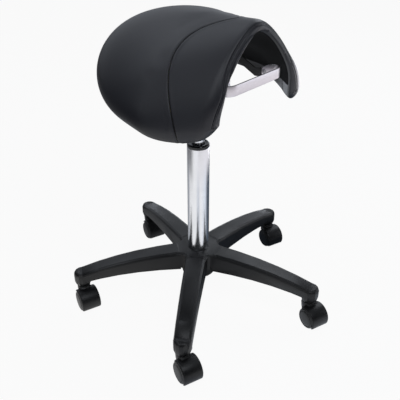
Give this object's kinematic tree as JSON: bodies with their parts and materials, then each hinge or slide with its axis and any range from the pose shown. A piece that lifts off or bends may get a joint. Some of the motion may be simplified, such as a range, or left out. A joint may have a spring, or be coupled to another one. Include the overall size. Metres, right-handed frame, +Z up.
{
  "type": "saddle stool",
  "caption": "Height-adjustable saddle stool: padded saddle with drooping flaps, hand lever under the front arch, gas column and star base on twin-wheel castors.",
  "frame": {"origin": "middle of the stool's footprint at floor level, under the wheels", "axes": "+Z up along the column, +X towards the front of the saddle, where the arch opens and the hand bar is, +Y to the rider's left"},
  "size_m": [0.6064, 0.5696, 0.69],
  "materials": {
    "black_nylon": "black glass-filled nylon with a fine satin texture",
    "chromed_tube": "bright chrome plating",
    "zinc_steel": "plain or zinc-plated steel",
    "black_steel": "black powder coat on pressed steel",
    "brushed_strip": "brushed aluminium strip",
    "black_rubber": "matt black rubber",
    "black_leather": "black upholstery leather with a fine grain and a soft sheen",
    "foam": "moulded polyurethane foam, hidden by the cover",
    "moulded_polymer": "black moulded polymer"
  },
  "bodies": {
    "base": {"star_base": "black_nylon", "column_tube": "chromed_tube", "guide_bush": "black_nylon", "thrust_washer_lower": "zinc_steel", "ball_cage": "moulded_polymer", "foot_washer": "zinc_steel", "castor_1_stem": "zinc_steel", "castor_2_stem": "zinc_steel", "castor_3_stem": "zinc_steel", "castor_4_stem": "zinc_steel", "castor_5_stem": "zinc_steel"},
    "spindle": {"piston_rod": "zinc_steel", "piston": "zinc_steel", "thrust_washer_upper": "zinc_steel", "rubber_buffer": "black_rubber", "retaining_clip": "zinc_steel"},
    "seat": {"gas_cylinder": "chromed_tube", "rod_guide": "moulded_polymer", "seat_plate": "black_steel", "seat_bolt_1": "zinc_steel", "seat_bolt_2": "zinc_steel", "seat_bolt_3": "zinc_steel", "seat_bolt_4": "zinc_steel", "lever_pivot_pin": "zinc_steel", "seat_shell": "moulded_polymer", "seat_lining": "moulded_polymer", "foam_pad": "foam", "saddle_cover_rear": "black_leather", "saddle_cover_front": "black_leather"},
    "height_lever": {"lever_arm_left": "black_steel", "lever_arm_right": "black_steel", "release_paddle": "black_steel", "lever_bar": "brushed_strip", "lever_rivet_left": "zinc_steel", "lever_rivet_right": "zinc_steel"},
    "valve_pin": {"release_pin": "zinc_steel"},
    "castor_1": {"castor_1_hood": "black_nylon", "castor_1_axle": "zinc_steel"},
    "castor_1_left": {"castor_1_wheel_left": "black_nylon"},
    "castor_1_right": {"castor_1_wheel_right": "black_nylon"},
    "castor_2": {"castor_2_hood": "black_nylon", "castor_2_axle": "zinc_steel"},
    "castor_2_left": {"castor_2_wheel_left": "black_nylon"},
    "castor_2_right": {"castor_2_wheel_right": "black_nylon"},
    "castor_3": {"castor_3_hood": "black_nylon", "castor_3_axle": "zinc_steel"},
    "castor_3_left": {"castor_3_wheel_left": "black_nylon"},
    "castor_3_right": {"castor_3_wheel_right": "black_nylon"},
    "castor_4": {"castor_4_hood": "black_nylon", "castor_4_axle": "zinc_steel"},
    "castor_4_left": {"castor_4_wheel_left": "black_nylon"},
    "castor_4_right": {"castor_4_wheel_right": "black_nylon"},
    "castor_5": {"castor_5_hood": "black_nylon", "castor_5_axle": "zinc_steel"},
    "castor_5_left": {"castor_5_wheel_left": "black_nylon"},
    "castor_5_right": {"castor_5_wheel_right": "black_nylon"}
  },
  "joints": [
    {"name": "seat_swivel", "type": "hinge", "parent": "base", "child": "spindle", "pos_m": [-0.016, -0.02168, 0.08], "axis": [0, 0, 1], "continuous": true},
    {"name": "seat_height", "type": "slide", "parent": "spindle", "child": "seat", "axis": [0, 0, 1], "range_m": [-0.155, 0.045]},
    {"name": "lever_lift", "type": "hinge", "parent": "seat", "child": "height_lever", "pos_m": [0.019, -0.02168, 0.616], "axis": [0, -1, 0], "range_deg": [0, 7], "stiffness_Nm_per_rad": 1.2, "springref_deg": -5.73},
    {"name": "pin_travel", "type": "slide", "parent": "seat", "child": "valve_pin", "axis": [0, 0, 1], "range_m": [-0.005, 0], "stiffness_N_per_m": 200},
    {"name": "castor_1_swivel", "type": "hinge", "parent": "base", "child": "castor_1", "pos_m": [0.25125, 0.06515, 0.05], "axis": [0, 0, 1], "continuous": true},
    {"name": "castor_1_left_spin", "type": "hinge", "parent": "castor_1", "child": "castor_1_left", "pos_m": [0.26937, 0.05944, 0.02462], "axis": [0.3007, 0.9537, 0], "continuous": true},
    {"name": "castor_1_right_spin", "type": "hinge", "parent": "castor_1", "child": "castor_1_right", "pos_m": [0.26937, 0.05944, 0.02462], "axis": [0.3007, 0.9537, 0], "continuous": true},
    {"name": "castor_2_swivel", "type": "hinge", "parent": "base", "child": "castor_2", "pos_m": [-0.016, 0.25932, 0.05], "axis": [0, 0, 1], "continuous": true},
    {"name": "castor_2_left_spin", "type": "hinge", "parent": "castor_2", "child": "castor_2_left", "pos_m": [0.00213, 0.2536, 0.02462], "axis": [0.3007, 0.9537, 0], "continuous": true},
    {"name": "castor_2_right_spin", "type": "hinge", "parent": "castor_2", "child": "castor_2_right", "pos_m": [0.00213, 0.2536, 0.02462], "axis": [0.3007, 0.9537, 0], "continuous": true},
    {"name": "castor_3_swivel", "type": "hinge", "parent": "base", "child": "castor_3", "pos_m": [-0.28324, 0.06515, 0.05], "axis": [0, 0, 1], "continuous": true},
    {"name": "castor_3_left_spin", "type": "hinge", "parent": "castor_3", "child": "castor_3_left", "pos_m": [-0.26512, 0.05944, 0.02462], "axis": [0.3007, 0.9537, 0], "continuous": true},
    {"name": "castor_3_right_spin", "type": "hinge", "parent": "castor_3", "child": "castor_3_right", "pos_m": [-0.26512, 0.05944, 0.02462], "axis": [0.3007, 0.9537, 0], "continuous": true},
    {"name": "castor_4_swivel", "type": "hinge", "parent": "base", "child": "castor_4", "pos_m": [-0.18116, -0.24902, 0.05], "axis": [0, 0, 1], "continuous": true},
    {"name": "castor_4_left_spin", "type": "hinge", "parent": "castor_4", "child": "castor_4_left", "pos_m": [-0.16304, -0.25473, 0.02462], "axis": [0.3007, 0.9537, 0], "continuous": true},
    {"name": "castor_4_right_spin", "type": "hinge", "parent": "castor_4", "child": "castor_4_right", "pos_m": [-0.16304, -0.25473, 0.02462], "axis": [0.3007, 0.9537, 0], "continuous": true},
    {"name": "castor_5_swivel", "type": "hinge", "parent": "base", "child": "castor_5", "pos_m": [0.14917, -0.24902, 0.05], "axis": [0, 0, 1], "continuous": true},
    {"name": "castor_5_left_spin", "type": "hinge", "parent": "castor_5", "child": "castor_5_left", "pos_m": [0.16729, -0.25473, 0.02462], "axis": [0.3007, 0.9537, 0], "continuous": true},
    {"name": "castor_5_right_spin", "type": "hinge", "parent": "castor_5", "child": "castor_5_right", "pos_m": [0.16729, -0.25473, 0.02462], "axis": [0.3007, 0.9537, 0], "continuous": true}
  ],
  "couplings": [
    {"joint": "pin_travel", "follows": "lever_lift", "m_per_rad": -0.04}
  ]
}
